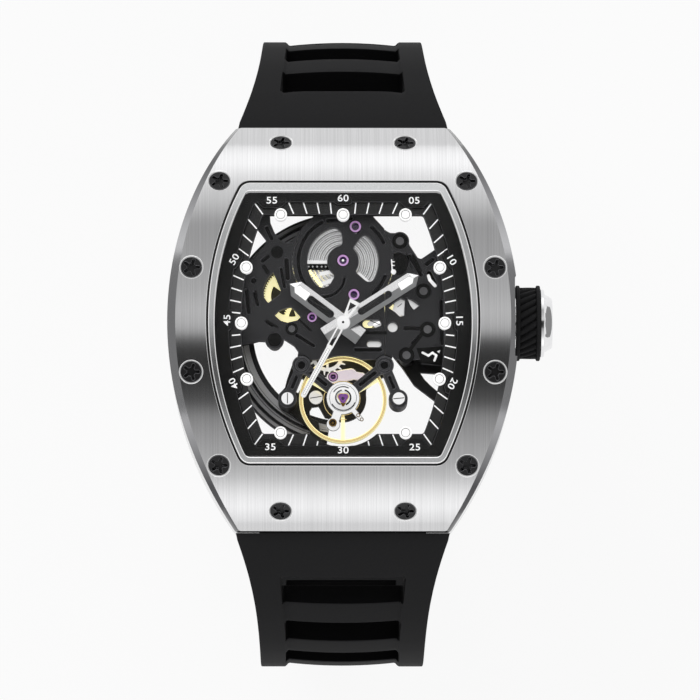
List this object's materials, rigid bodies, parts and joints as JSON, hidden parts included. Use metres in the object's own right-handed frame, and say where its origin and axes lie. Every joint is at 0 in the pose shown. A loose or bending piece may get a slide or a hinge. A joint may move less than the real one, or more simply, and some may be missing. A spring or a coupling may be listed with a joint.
{
  "type": "automatic wristwatch",
  "caption": "Automatic wristwatch with a curved tonneau case, skeleton movement seen front and back, rubber-gripped crown and ribbed rubber strap.",
  "frame": {"origin": "centre of the case back's outer face, on the axis of the hands", "axes": "+Z out through the dial, +Y to 12 o'clock, +X to the crown at 3 o'clock"},
  "size_m": [0.0473, 0.0792, 0.0711],
  "materials": {
    "brushed_titanium": "brushed",
    "black_screw_steel": "satin",
    "gasket_rubber": "matt",
    "polished_steel": "polished",
    "crystal_glass": "polished",
    "flange_black": "matt",
    "marker_lume": "satin",
    "holder_steel": "satin",
    "black_bridge": "fine brushed",
    "ruby": "polished",
    "rotor_alloy": "satin",
    "gilt_brass": "satin",
    "spring_steel": "polished",
    "hand_steel": "polished",
    "black_rubber": "matt"
  },
  "bodies": {
    "case": {"bezel": "brushed_titanium", "mid_case": "brushed_titanium", "case_back": "brushed_titanium", "bezel_screws": "black_screw_steel", "back_screws": "black_screw_steel", "crystal_gasket": "gasket_rubber", "crystal_frame": "polished_steel", "front_crystal": "crystal_glass", "back_crystal": "crystal_glass", "dial_flange": "flange_black", "hour_markers": "marker_lume", "movement_ring": "holder_steel", "main_plate": "black_bridge", "barrel_bridge": "black_bridge", "train_bridge": "black_bridge", "winding_bridge": "black_bridge", "bridge_screws": "black_screw_steel", "balance_bridge": "black_bridge", "balance_screws": "polished_steel", "pallet_bridge": "polished_steel", "regulator": "polished_steel", "shock_setting": "ruby", "jewels": "ruby", "rotor_bearing": "polished_steel", "rotor_screw": "polished_steel", "hairspring": "spring_steel", "setting_lever": "polished_steel", "crown_tube": "polished_steel", "strap_pins": "polished_steel"},
    "rotor": {"rotor_plate": "rotor_alloy", "rotor_weight": "rotor_alloy"},
    "barrel": {"barrel_drum": "gilt_brass", "barrel_cover": "holder_steel", "mainspring": "spring_steel"},
    "ratchet": {"ratchet_wheel": "gilt_brass"},
    "idler": {"winding_idler": "gilt_brass"},
    "crown_gear": {"crown_wheel": "polished_steel"},
    "rotor_pinion": {"rotor_gear": "gilt_brass"},
    "click": {"click": "polished_steel"},
    "minute": {"centre_wheel": "gilt_brass", "cannon_pinion": "polished_steel", "minute_hand": "hand_steel"},
    "hour": {"hour_wheel": "polished_steel", "hour_hand": "hand_steel"},
    "second": {"fourth_wheel": "gilt_brass", "second_hand": "hand_steel"},
    "third": {"third_wheel": "gilt_brass"},
    "motion": {"minute_wheel": "gilt_brass"},
    "escape": {"escape_wheel": "polished_steel"},
    "pallets": {"pallet_fork": "polished_steel"},
    "balance": {"balance_wheel": "gilt_brass"},
    "pinion": {"winding_pinion": "polished_steel"},
    "crown": {"crown_stem": "polished_steel", "crown_grip": "black_rubber"},
    "upper_strap": {"strap_upper": "black_rubber", "strap_keeper": "black_rubber", "buckle_pin": "polished_steel"},
    "lower_strap": {"strap_lower": "black_rubber"},
    "buckle": {"buckle_frame": "polished_steel"},
    "tongue": {"buckle_tongue": "polished_steel"}
  },
  "joints": [
    {"name": "second_turn", "type": "hinge", "parent": "case", "child": "second", "pos_m": [0, 0, 0.006], "axis": [0, 0, 1], "continuous": true},
    {"name": "minute_turn", "type": "hinge", "parent": "case", "child": "minute", "pos_m": [0, 0, 0.006], "axis": [0, 0, 1], "continuous": true},
    {"name": "hour_turn", "type": "hinge", "parent": "case", "child": "hour", "pos_m": [0, 0, 0.006], "axis": [0, 0, 1], "continuous": true},
    {"name": "third_turn", "type": "hinge", "parent": "case", "child": "third", "pos_m": [-0.0038, 0.0011, 0.006], "axis": [0, 0, 1], "continuous": true},
    {"name": "motion_turn", "type": "hinge", "parent": "case", "child": "motion", "pos_m": [0.00213, -0.00055, 0.006], "axis": [0, 0, 1], "continuous": true},
    {"name": "escape_turn", "type": "hinge", "parent": "case", "child": "escape", "pos_m": [-0.0019, -0.0033, 0.006], "axis": [0, 0, 1], "continuous": true},
    {"name": "barrel_turn", "type": "hinge", "parent": "case", "child": "barrel", "pos_m": [0, 0.008, 0.006], "axis": [0, 0, 1], "continuous": true},
    {"name": "crown_turn", "type": "hinge", "parent": "case", "child": "pinion", "pos_m": [0.009, 0.0006, 0.00644], "axis": [1, 0, 0], "continuous": true},
    {"name": "crown_pull", "type": "slide", "parent": "pinion", "child": "crown", "axis": [1, 0, 0], "range_m": [0, 0.0012]},
    {"name": "ratchet_turn", "type": "hinge", "parent": "case", "child": "ratchet", "pos_m": [0, 0.008, 0.006], "axis": [0, 0, 1], "continuous": true},
    {"name": "idler_turn", "type": "hinge", "parent": "case", "child": "idler", "pos_m": [0.00593, 0.00489, 0.006], "axis": [0, 0, 1], "continuous": true},
    {"name": "crown_gear_turn", "type": "hinge", "parent": "case", "child": "crown_gear", "pos_m": [0.00693, 0.0006, 0.006], "axis": [0, 0, 1], "continuous": true},
    {"name": "rotor_gear_turn", "type": "hinge", "parent": "case", "child": "rotor_pinion", "pos_m": [-0.00629, 0.0041, 0.006], "axis": [0, 0, 1], "continuous": true},
    {"name": "rotor_turn", "type": "hinge", "parent": "case", "child": "rotor", "pos_m": [0, 0, 0.0025], "axis": [0, 0, 1], "continuous": true},
    {"name": "click_lift", "type": "hinge", "parent": "case", "child": "click", "pos_m": [0.00536, 0.00995, 0.0053], "axis": [0, 0, -1], "range_deg": [0, 8]},
    {"name": "pallet_swing", "type": "hinge", "parent": "case", "child": "pallets", "pos_m": [-0.0012, -0.0061, 0.0054], "axis": [0, 0, 1], "range_deg": [-5, 5]},
    {"name": "balance_swing", "type": "hinge", "parent": "case", "child": "balance", "pos_m": [0, -0.009, 0.007], "axis": [0, 0, 1], "range_deg": [-270, 270], "stiffness_Nm_per_rad": 0.0000015, "deforming": ["hairspring"]},
    {"name": "upper_strap_hinge", "type": "hinge", "parent": "case", "child": "upper_strap", "pos_m": [0, 0.023, 0.0015], "axis": [-1, 0, 0], "range_deg": [0, 8]},
    {"name": "lower_strap_hinge", "type": "hinge", "parent": "case", "child": "lower_strap", "pos_m": [0, -0.023, 0.0015], "axis": [1, 0, 0], "range_deg": [0, 6]},
    {"name": "buckle_swing", "type": "hinge", "parent": "upper_strap", "child": "buckle", "pos_m": [0, 0.03011, -0.04589], "axis": [1, 0, 0], "range_deg": [-40, 40]},
    {"name": "tongue_lift", "type": "hinge", "parent": "buckle", "child": "tongue", "pos_m": [0, 0.03011, -0.04589], "axis": [1, 0, 0], "range_deg": [0, 60]}
  ],
  "couplings": [
    {"joint": "minute_turn", "follows": "second_turn", "ratio": 0.016667},
    {"joint": "third_turn", "follows": "second_turn", "ratio": -0.13333},
    {"joint": "hour_turn", "follows": "second_turn", "ratio": 0.0013889},
    {"joint": "motion_turn", "follows": "second_turn", "ratio": -0.0055556},
    {"joint": "escape_turn", "follows": "second_turn", "ratio": -12},
    {"joint": "barrel_turn", "follows": "second_turn", "ratio": -0.0048309},
    {"joint": "crown_gear_turn", "follows": "crown_turn", "ratio": 0.41176},
    {"joint": "idler_turn", "follows": "crown_turn", "ratio": -0.25926},
    {"joint": "ratchet_turn", "follows": "crown_turn", "ratio": 0.175},
    {"joint": "rotor_gear_turn", "follows": "crown_turn", "ratio": -0.20588}
  ]
}
